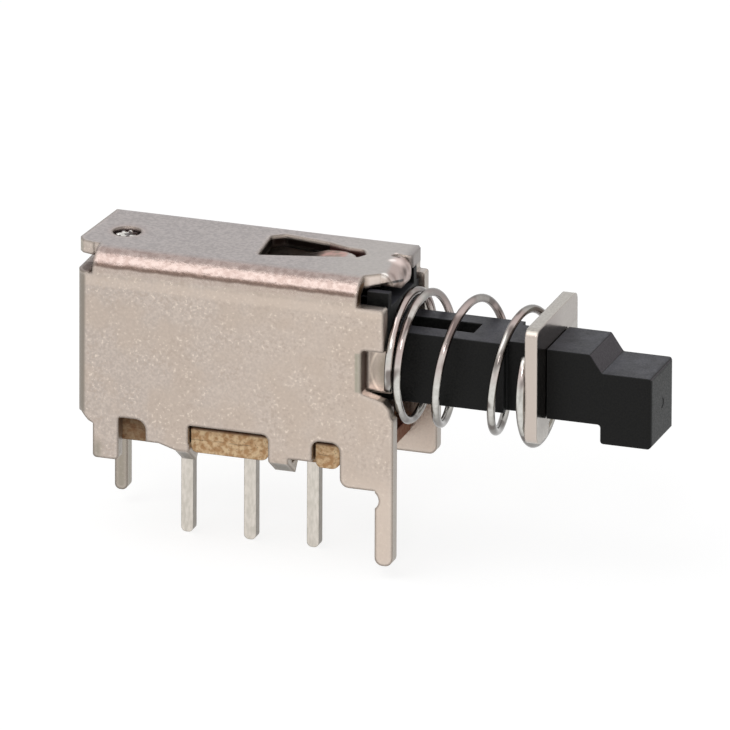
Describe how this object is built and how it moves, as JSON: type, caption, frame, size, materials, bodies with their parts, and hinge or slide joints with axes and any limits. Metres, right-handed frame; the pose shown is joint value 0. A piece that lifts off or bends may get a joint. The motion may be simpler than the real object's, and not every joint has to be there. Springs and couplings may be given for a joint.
{
  "type": "pcb push switch",
  "caption": "Self-locking push switch for a circuit board: folded steel frame, terminals below, and a sprung push rod with a fork-shaped spring retainer.",
  "frame": {"origin": "on the middle terminal's axis, in the plane where the frame's feet stand on the circuit board", "axes": "+X along the push rod towards its tip, +Z away from the circuit board"},
  "size_m": [0.0226, 0.0052, 0.0116],
  "materials": {
    "frame_steel": "nickel-plated steel sheet, satin",
    "phenolic_board": "tan phenolic laminate, punched",
    "terminal_metal": "tin-plated",
    "black_plastic": "moulded, fine texture",
    "clip_metal": "spring bronze strip, bright",
    "spring_wire": "bright drawn wire",
    "retainer_steel": "nickel-plated, stamped",
    "pin_wire": "bright drawn wire"
  },
  "bodies": {
    "housing": {"frame": "frame_steel", "terminal_board": "phenolic_board", "terminal_rear": "terminal_metal", "terminal_common": "terminal_metal", "terminal_front": "terminal_metal", "return_spring": "spring_wire"},
    "push_rod": {"plunger": "black_plastic", "contact_clip": "clip_metal", "spring_retainer": "retainer_steel"},
    "latch": {"lock_pin": "pin_wire"}
  },
  "joints": [
    {"name": "plunger_slide", "type": "slide", "parent": "housing", "child": "push_rod", "axis": [-1, 0, 0], "range_m": [0, 0.003], "stiffness_N_per_m": 800, "deforming": ["return_spring"]},
    {"name": "lock_pin_swing", "type": "hinge", "parent": "housing", "child": "latch", "pos_m": [-0.00498, 0, 0.0079], "axis": [0, 0, 1], "range_deg": [-5.23, 0]}
  ],
  "couplings": [
    {"joint": "lock_pin_swing", "follows": "plunger_slide", "rad_per_m": -30.16}
  ]
}
